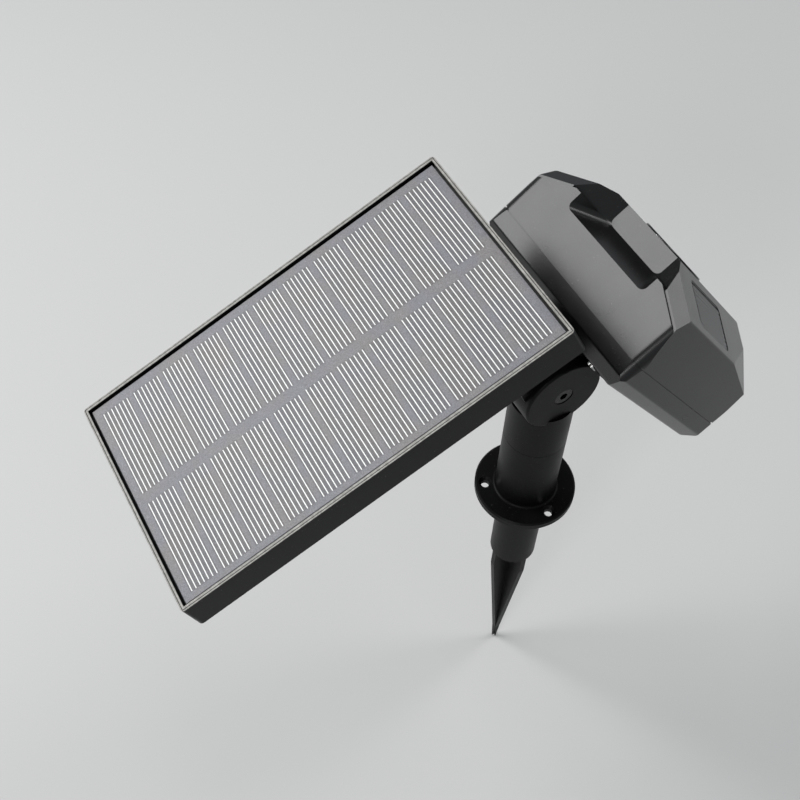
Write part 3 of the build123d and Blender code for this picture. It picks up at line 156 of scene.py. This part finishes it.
def add_stage():
    """Plain pale floor, and a dim plain sky."""
    bpy.ops.mesh.primitive_plane_add(size=FLOOR_SIZE, location=(0, 0, FLOOR_LEVEL))
    floor = bpy.context.object
    floor.name = "floor"
    material = bpy.data.materials.new("pale_floor")
    material.use_nodes = True
    shader = material.node_tree.nodes["Principled BSDF"]
    shader.inputs["Base Color"].default_value = FLOOR_COLOUR
    shader.inputs["Roughness"].default_value = 0.9
    floor.data.materials.append(material)
    world = bpy.data.worlds.new("studio")
    world.use_nodes = True
    sky = world.node_tree.nodes["Background"]
    sky.inputs["Color"].default_value = SKY_COLOUR
    sky.inputs["Strength"].default_value = SKY_STRENGTH
    scene.world = world


add_camera()
add_stage()
scene.view_settings.view_transform = "Standard"
for softbox in SOFTBOXES:
    add_softbox(*softbox)


# ================================================================ materials
def node_adder(tree):
    """A function that adds a node to this tree and sets its properties."""
    def add(kind, **values):
        node = tree.nodes.new(kind)
        for key, value in values.items():
            setattr(node, key, value)
        return node

    return add


def new_material(name):
    """An empty node material: its tree, its shader and a function that adds nodes."""
    material = bpy.data.materials.new(name)
    material.use_nodes = True
    tree = material.node_tree
    return material, tree, tree.nodes["Principled BSDF"], node_adder(tree)


def noise(tree, add, scale, detail=4.0, roughness=0.55):
    """Noise over the object's own coordinates, scale in features per metre."""
    where = add("ShaderNodeTexCoord")
    texture = add("ShaderNodeTexNoise")
    texture.inputs["Scale"].default_value = scale
    texture.inputs["Detail"].default_value = detail
    texture.inputs["Roughness"].default_value = roughness
    tree.links.new(where.outputs["Object"], texture.inputs["Vector"])
    return texture


def ramp(tree, add, source, stops):
    """Colour ramp: stops are (position, grey or rgb)."""
    node = add("ShaderNodeValToRGB")
    elements = node.color_ramp.elements
    while len(elements) < len(stops):
        elements.new(0.5)
    for element, (position, value) in zip(elements, stops):
        element.position = position
        rgb = (value, value, value) if isinstance(value, (int, float)) else value
        element.color = (*rgb, 1)
    tree.links.new(source, node.inputs["Fac"])
    return node.outputs["Color"]


def bump(tree, add, shader, heights, distance):
    """Bump from one height source, distance in metres."""
    node = add("ShaderNodeBump")
    node.inputs["Distance"].default_value = distance
    node.inputs["Strength"].default_value = 1.0
    tree.links.new(heights, node.inputs["Height"])
    tree.links.new(node.outputs["Normal"], shader.inputs["Normal"])


def moulded_plastic(name, dark, light, roughness, grain, grain_depth, specular=0.5):
    """Moulded plastic: fine grain, cloudy colour and roughness, a few pale dust specks."""
    material, tree, shader, add = new_material(name)
    cloud = noise(tree, add, 45, 5)
    colour = ramp(tree, add, cloud.outputs["Fac"], [(0.35, dark), (0.7, light)])
    specks = noise(tree, add, 1400, 1)
    dust = ramp(tree, add, specks.outputs["Fac"], [(0.74, 0), (0.80, 1)])
    mix = add("ShaderNodeMixRGB")
    mix.inputs["Color2"].default_value = (0.22, 0.21, 0.19, 1)
    tree.links.new(colour, mix.inputs["Color1"])
    faint = add("ShaderNodeMath", operation="MULTIPLY")
    faint.inputs[1].default_value = 0.35
    tree.links.new(dust, faint.inputs[0])
    tree.links.new(faint.outputs[0], mix.inputs["Fac"])
    tree.links.new(mix.outputs[0], shader.inputs["Base Color"])
    rough = ramp(tree, add, noise(tree, add, 90, 6).outputs["Fac"],
                 [(0.3, roughness * 0.93), (0.75, roughness * 1.08)])
    tree.links.new(rough, shader.inputs["Roughness"])
    shader.inputs["Specular IOR Level"].default_value = specular
    bump(tree, add, shader, noise(tree, add, grain, 2).outputs["Fac"], grain_depth)
    return material


RIM_HIGHLIGHT_DEPTH = 0.25 * MM    # how far the painted highlight on the rim's top reaches down the rim


def panel_tray_material():
    """The tray's plastic, with a painted highlight: the top face of its rim painted pale."""
    material = moulded_plastic("panel_tray_plastic", (0.002,) * 3, (0.004,) * 3, 0.34, 2600, 0.000006, 0.15)
    tree = material.node_tree
    shader = tree.nodes["Principled BSDF"]
    add = node_adder(tree)
    rim_top = measured("panel_tray", PANEL_NORMAL)[1]
    where = add("ShaderNodeTexCoord")
    height = add("ShaderNodeVectorMath", operation="DOT_PRODUCT")
    height.inputs[1].default_value = PANEL_NORMAL
    tree.links.new(where.outputs["Object"], height.inputs[0])
    # painted highlight: the rim's top face is painted pale, in streaks, standing in for the light it catches
    above = add("ShaderNodeMath", operation="GREATER_THAN")
    above.inputs[1].default_value = rim_top - RIM_HIGHLIGHT_DEPTH
    tree.links.new(height.outputs["Value"], above.inputs[0])
    streaks = noise(tree, add, 700, 6)
    pale = ramp(tree, add, streaks.outputs["Fac"], [(0.3, (0.22, 0.215, 0.2)), (0.7, (0.42, 0.41, 0.385))])
    old = shader.inputs["Base Color"].links[0].from_socket
    mix = add("ShaderNodeMixRGB")
    tree.links.new(above.outputs[0], mix.inputs["Fac"])
    tree.links.new(old, mix.inputs["Color1"])
    tree.links.new(pale, mix.inputs["Color2"])
    tree.links.new(mix.outputs[0], shader.inputs["Base Color"])
    return material


def laminate_material(name, low, high, relief):
    """Grey resin face: fine mottle, small pale swirls and bubbles, soft bluish and brownish clouds."""
    material, tree, shader, add = new_material(name)
    fine = noise(tree, add, 2300, 5, 0.75)
    colour = ramp(tree, add, fine.outputs["Fac"], [(0.30, low), (0.72, high)])
    swirl = noise(tree, add, 520, 3, 0.6)
    swirl.inputs["Distortion"].default_value = 2.2
    lines = ramp(tree, add, swirl.outputs["Fac"], [(0.60, 0), (0.64, 1), (0.68, 0)])
    lift = add("ShaderNodeMixRGB", blend_type="ADD")
    lift.inputs["Color2"].default_value = (0.07, 0.07, 0.075, 1)
    tree.links.new(colour, lift.inputs["Color1"])
    tree.links.new(lines, lift.inputs["Fac"])
    warm = noise(tree, add, 60, 3)
    tint = ramp(tree, add, warm.outputs["Fac"], [(0.40, (0.98, 0.99, 1.04)), (0.62, (1.04, 1.0, 0.95))])
    tinted = add("ShaderNodeMixRGB", blend_type="MULTIPLY")
    tinted.inputs["Fac"].default_value = 1.0
    tree.links.new(lift.outputs[0], tinted.inputs["Color1"])
    tree.links.new(tint, tinted.inputs["Color2"])
    tree.links.new(tinted.outputs[0], shader.inputs["Base Color"])
    shader.inputs["Roughness"].default_value = 0.42
    shader.inputs["Specular IOR Level"].default_value = 0.35
    bump(tree, add, shader, fine.outputs["Fac"], relief)
    return material


def plain_detail(name, dark, light, roughness, metallic=0.0, scale=300, relief=0.00001, specular=0.5):
    """A simple surface with some cloudy colour, varied roughness and fine relief."""
    material, tree, shader, add = new_material(name)
    cloud = noise(tree, add, scale, 4)
    colour = ramp(tree, add, cloud.outputs["Fac"], [(0.35, dark), (0.7, light)])
    tree.links.new(colour, shader.inputs["Base Color"])
    rough = ramp(tree, add, noise(tree, add, scale * 2.5, 4).outputs["Fac"],
                 [(0.3, roughness * 0.8), (0.75, min(1.0, roughness * 1.25))])
    tree.links.new(rough, shader.inputs["Roughness"])
    shader.inputs["Metallic"].default_value = metallic
    shader.inputs["Specular IOR Level"].default_value = specular
    bump(tree, add, shader, cloud.outputs["Fac"], relief)
    return material


def clear_plastic(name, tint, roughness, ribs, transmission=0.9):
    """Clear or smoked cover with fine upright prism ribs."""
    material, tree, shader, add = new_material(name)
    shader.inputs["Base Color"].default_value = (*tint, 1)
    shader.inputs["Transmission Weight"].default_value = transmission
    shader.inputs["IOR"].default_value = 1.5
    where = add("ShaderNodeTexCoord")
    wave = add("ShaderNodeTexWave", wave_type="BANDS", bands_direction="X", wave_profile="TRI")
    wave.inputs["Scale"].default_value = ribs
    tree.links.new(where.outputs["Object"], wave.inputs["Vector"])
    cloud = noise(tree, add, 400, 3)
    tree.links.new(ramp(tree, add, cloud.outputs["Fac"], [(0.3, roughness * 0.6), (0.8, roughness * 1.5)]),
                   shader.inputs["Roughness"])
    bump(tree, add, shader, wave.outputs["Fac"], 0.00025)
    return material


MATERIALS = {
    "black_shell": moulded_plastic("satin_black", (0.003,) * 3, (0.005,) * 3, 0.26, 2400, 0.000004, 0.5),
    "black_post": moulded_plastic("textured_black", (0.002,) * 3, (0.004,) * 3, 0.42, 1500, 0.00001, 0.12),
    "panel_frame": panel_tray_material(),
    "rubber": plain_detail("soft_rubber", (0.008,) * 3, (0.016,) * 3, 0.75, relief=0.00003, specular=0.3),
    "steel": plain_detail("zinc_steel", (0.42, 0.42, 0.41), (0.62, 0.62, 0.6), 0.3, 1.0, 500),
    "glass": plain_detail("coated_glass", (0.003, 0.004, 0.008), (0.008, 0.006, 0.012), 0.06, 0.0, 60, 0.0),
    "clear": clear_plastic("prism_cover", (0.93, 0.95, 0.96), 0.06, 160),
    "smoked": clear_plastic("smoked_cover", (0.03, 0.03, 0.035), 0.08, 160, 0.35),
    "white_lens": plain_detail("milky_lens", (0.72, 0.72, 0.69), (0.82, 0.82, 0.8), 0.35, 0.0, 200),
    "silver": plain_detail("reflector_chrome", (0.78, 0.78, 0.79), (0.88, 0.88, 0.9), 0.12, 1.0, 80),
    "led": plain_detail("phosphor", (0.78, 0.62, 0.12), (0.9, 0.74, 0.2), 0.4, 0.0, 2500),
    "pcb": plain_detail("circuit_board", (0.004, 0.05, 0.02), (0.01, 0.09, 0.035), 0.35, 0.0, 900),
    "battery": plain_detail("cell_wrap", (0.02, 0.08, 0.3), (0.03, 0.12, 0.4), 0.3, 0.0, 120),
    "inner": plain_detail("inner_black", (0.006,) * 3, (0.015,) * 3, 0.5, 0.0, 300),
    "backing": plain_detail("backing_board", (0.12,) * 3, (0.18,) * 3, 0.6, 0.0, 300),
    "silicon": plain_detail("silicon", (0.02, 0.025, 0.04), (0.04, 0.045, 0.07), 0.25, 0.0, 900),
    "film": plain_detail("film", (0.5, 0.5, 0.52), (0.6, 0.6, 0.62), 0.3, 0.0, 900),
}
SLOT_OF = {entry["node"]: entry["material_slot"] for entry in frame["record"]["subparts"]}
SPECIAL_FINISHES = {
    "camera_glass": clear_plastic("window_glass", (0.30, 0.31, 0.34), 0.02, 0),
}
BLACKENED_STEEL = plain_detail("blackened_steel", (0.02,) * 3, (0.05,) * 3, 0.28, 1.0, 500)
for node_name in ("head_pivot_screw", "panel_pivot_screw"):
    SPECIAL_FINISHES[node_name] = BLACKENED_STEEL
for node_name, node in NODES.items():
    node.data.materials.clear()
    node.data.materials.append(SPECIAL_FINISHES.get(node_name, MATERIALS[SLOT_OF[node_name]]))

BEVEL_ANGLE = math.radians(28)  # edges sharper than this are softened
FACE_WEIGHT = 80              # how strongly large faces keep their own normals
BEVELS = {
    "housing": 0.45, "back_shell": 0.4, "front_bezel": 0.4, "panel_tray": 0.25, "base_post": 0.25,
    "carrier_arm": 0.5, "head_bracket": 0.4, "ground_spike": 0.4, "bottom_cover": 0.3,
    "panel_bracket": 0.5, "camera_ring": 0.12, "port_cover": 0.3, "power_button": 0.1,
}
for node_name, width in BEVELS.items():
    bevel = NODES[node_name].modifiers.new("soft_edges", "BEVEL")
    bevel.width = width * MM
    bevel.segments = 2
    bevel.limit_method = "ANGLE"
    bevel.angle_limit = BEVEL_ANGLE
    bevel.use_clamp_overlap = True
    bevel.harden_normals = False
    flatten = NODES[node_name].modifiers.new("flat_faces", "WEIGHTED_NORMAL")
    flatten.keep_sharp = False
    flatten.weight = FACE_WEIGHT


# ================================================================ building new pieces
def finish_piece(name, bm, place, material, body):
    """Turn a bmesh in a local frame into a named piece that rides on a body."""
    bmesh.ops.recalc_face_normals(bm, faces=bm.faces)
    mesh = bpy.data.meshes.new(name)
    bm.to_mesh(mesh)
    bm.free()
    mesh.transform(place)
    piece = bpy.data.objects.new(name, mesh)
    scene.collection.objects.link(piece)
    mesh.materials.append(material)
    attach(piece, body)
    return piece


def add_block(bm, low, high, bevel=0.0):
    """A box between two corners, with softened upper edges where asked."""
    low, high = Vector(low), Vector(high)
    made = bmesh.ops.create_cube(bm, size=1.0)
    for vertex in made["verts"]:
        vertex.co = Vector(
            (low[i] + (high[i] - low[i]) * (vertex.co[i] + 0.5) for i in range(3))
        )
    if bevel:
        edges = {edge for vertex in made["verts"] for edge in vertex.link_edges}
        bmesh.ops.bevel(bm, geom=list(edges), offset=bevel, segments=2, profile=0.7, affect="EDGES")


# ---------------------------------------------------------------- the laminate's printed face
across = [vertex.co.x for vertex in NODES["laminate_film"].data.vertices]
HALF_ACROSS = (max(across) - min(across)) / 2
HALF_ALONG = (down_high - down_low) / 2
LAMINATE_FACE = laminate_material("resin_face", (0.10, 0.10, 0.108), (0.27, 0.27, 0.284), 0.00001)
CELL_FACE = laminate_material("cell_face", (0.06, 0.06, 0.063), (0.19, 0.188, 0.192), 0.00001)
SILVER_INK = plain_detail("silver_ink", (0.80, 0.80, 0.79), (0.92, 0.92, 0.91), 0.45, 0.0, 900)
ROW_MIDDLES = (22.75, -24.0)
ROW_HALF_LENGTH = 20.75
CELL_COUNT = 11
CELL_PITCH = 14.74
FINGERS = 7
FINGER_PITCH = 1.885
FINGER_HALF_WIDTH = 0.2
FIRST_CELL = HALF_ALONG / MM - 9.46
CELL_DRIFT = 0.25             # how far a strip may sit off its place
FINGER_DRIFT = 0.15           # and a finger off its strip's ends
CELL_MARGIN = (0.2, 0.75)     # a strip's plate stands out beyond its fingers: across, along
FACE_LAYER = (-0.3, -0.06)    # lowest and highest level of each layer
CELL_LAYER = (-0.07, -0.045)
FINGER_LAYER = (-0.05, -0.015)
FACE_BEVEL = 0.08

bm = bmesh.new()
add_block(
    bm,
    (-HALF_ACROSS, -HALF_ALONG, FACE_LAYER[0] * MM),
    (HALF_ACROSS, HALF_ALONG, FACE_LAYER[1] * MM),
    FACE_BEVEL * MM,
)
face = finish_piece("laminate_face", bm, PANEL, LAMINATE_FACE, "panel")
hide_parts("laminate_film")

rng = random.Random(7)
cells = bmesh.new()
fingers = bmesh.new()
half = (FINGERS - 1) / 2 * FINGER_PITCH
for row_middle in ROW_MIDDLES:
    for i in range(CELL_COUNT):
        middle = FIRST_CELL - i * CELL_PITCH + rng.uniform(-CELL_DRIFT, CELL_DRIFT)
        reach_across = ROW_HALF_LENGTH + CELL_MARGIN[0]
        reach_along = half + CELL_MARGIN[1]
        add_block(
            cells,
            ((row_middle - reach_across) * MM, (middle - reach_along) * MM, CELL_LAYER[0] * MM),
            ((row_middle + reach_across) * MM, (middle + reach_along) * MM, CELL_LAYER[1] * MM),
        )
        for j in range(FINGERS):
            y = middle - half + j * FINGER_PITCH
            x = row_middle + rng.uniform(-FINGER_DRIFT, FINGER_DRIFT)
            add_block(
                fingers,
                ((x - ROW_HALF_LENGTH) * MM, (y - FINGER_HALF_WIDTH) * MM, FINGER_LAYER[0] * MM),
                ((x + ROW_HALF_LENGTH) * MM, (y + FINGER_HALF_WIDTH) * MM, FINGER_LAYER[1] * MM),
            )
finish_piece("cell_plates", cells, PANEL, CELL_FACE, "panel")
finish_piece("cell_fingers", fingers, PANEL, SILVER_INK, "panel")


# ---------------------------------------------------------------- the motion sensor's faceted dome
MOTION_HEIGHT = -24.0
MOTION_RADIUS = 9.0
MOTION_FLANGE_RADIUS = 10.4
MOTION_FOOT = HEAD_DEPTH / MM - 5.0
MOTION_STEP = MOTION_FOOT + 1.4
DOME_TOP = HEAD_DEPTH / MM + 0.28
DOME_DROP = 2.3               # from the dome's top to its edge
DOME_RINGS = 5
DOME_SECTORS = 20
FACET_BORDER = 0.16
FACET_DISH = 0.1


def ring_of(bm, radius, level, turn=0.0):
    """One ring of vertices round the motion sensor's axis."""
    angles = [2 * math.pi * (i + turn) / DOME_SECTORS for i in range(DOME_SECTORS)]
    return [
        bm.verts.new((radius * math.cos(a) * MM, (MOTION_HEIGHT + radius * math.sin(a)) * MM, level * MM))
        for a in angles
    ]


def join_rings(bm, lower, upper):
    """Faces between two rings of vertices."""
    made = []
    for i in range(DOME_SECTORS):
        j = (i + 1) % DOME_SECTORS
        made.append(bm.faces.new((lower[i], lower[j], upper[j], upper[i])))
    return made


bm = bmesh.new()
rings = [
    ring_of(bm, MOTION_FLANGE_RADIUS, MOTION_FOOT),
    ring_of(bm, MOTION_FLANGE_RADIUS, MOTION_STEP),
    ring_of(bm, MOTION_RADIUS, MOTION_STEP),
]
for k in range(DOME_RINGS):
    radius = MOTION_RADIUS * (1 - k / DOME_RINGS)
    rings.append(ring_of(bm, radius, DOME_TOP - DOME_DROP * (radius / MOTION_RADIUS) ** 2, 0.5 * (k % 2)))
SKIRT_RINGS = 3               # the rings of the flange and the dome's foot aren't dished
facets = []
for k, (lower, upper) in enumerate(zip(rings, rings[1:])):
    made = join_rings(bm, lower, upper)
    if k >= SKIRT_RINGS:
        facets += made
bm.faces.new(list(reversed(rings[0])))
facets.append(bm.faces.new(rings[-1]))
bmesh.ops.recalc_face_normals(bm, faces=bm.faces)
bmesh.ops.inset_individual(bm, faces=facets, thickness=FACET_BORDER * MM, depth=-FACET_DISH * MM)
dome = finish_piece("motion_dome", bm, HEAD, MATERIALS["white_lens"], "head")
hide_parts("motion_lens")


# ---------------------------------------------------------------- prism ribs on the light covers
FRONT_FLAT_HALF = 21.5
SIDE_AT_FRONT = 47.6
FRONT_SIDE = 40.4
WING_ANGLE = math.atan2(HEAD_DEPTH / MM - FRONT_SIDE, SIDE_AT_FRONT - FRONT_FLAT_HALF)
RIB_PITCH = 1.0
RIB_HEIGHT = 0.17
RIB_SUNK = 0.05               # the ribs' feet, inside the cover
RIB_ROWS = 18
RIB_HALF_LENGTH = 18.2

for side, word in ((-1, "right"), (1, "left")):
    normal = X_AXIS * (side * math.sin(WING_ANGLE)) + HEAD_FORWARD * math.cos(WING_ANGLE)
    along = HEAD_UP.cross(normal)
    reaches = [measured(f"{word}_light_cover", axis) for axis in (along, HEAD_UP)]
    middle = sum((axis * (sum(reach) / 2) for axis, reach in zip((along, HEAD_UP), reaches)), Vector())
    top = measured(f"{word}_light_cover", normal)[1]
    bm = bmesh.new()
    for i in range(RIB_ROWS):
        x = (i - (RIB_ROWS - 1) / 2) * RIB_PITCH
        half = RIB_PITCH / 2
        section = [(x - half, -RIB_SUNK), (x + half, -RIB_SUNK), (x, RIB_HEIGHT)]
        ends = [
            [bm.verts.new((a * MM, y * MM, b * MM)) for a, b in section]
            for y in (-RIB_HALF_LENGTH, RIB_HALF_LENGTH)
        ]
        bm.faces.new(ends[0])
        bm.faces.new(list(reversed(ends[1])))
        for j in range(3):
            k = (j + 1) % 3
            bm.faces.new((ends[0][j], ends[0][k], ends[1][k], ends[1][j]))
    finish_piece(
        f"{word}_light_ribs", bm, basis(middle + normal * top, along, HEAD_UP, normal),
        MATERIALS["smoked"], "head",
    )
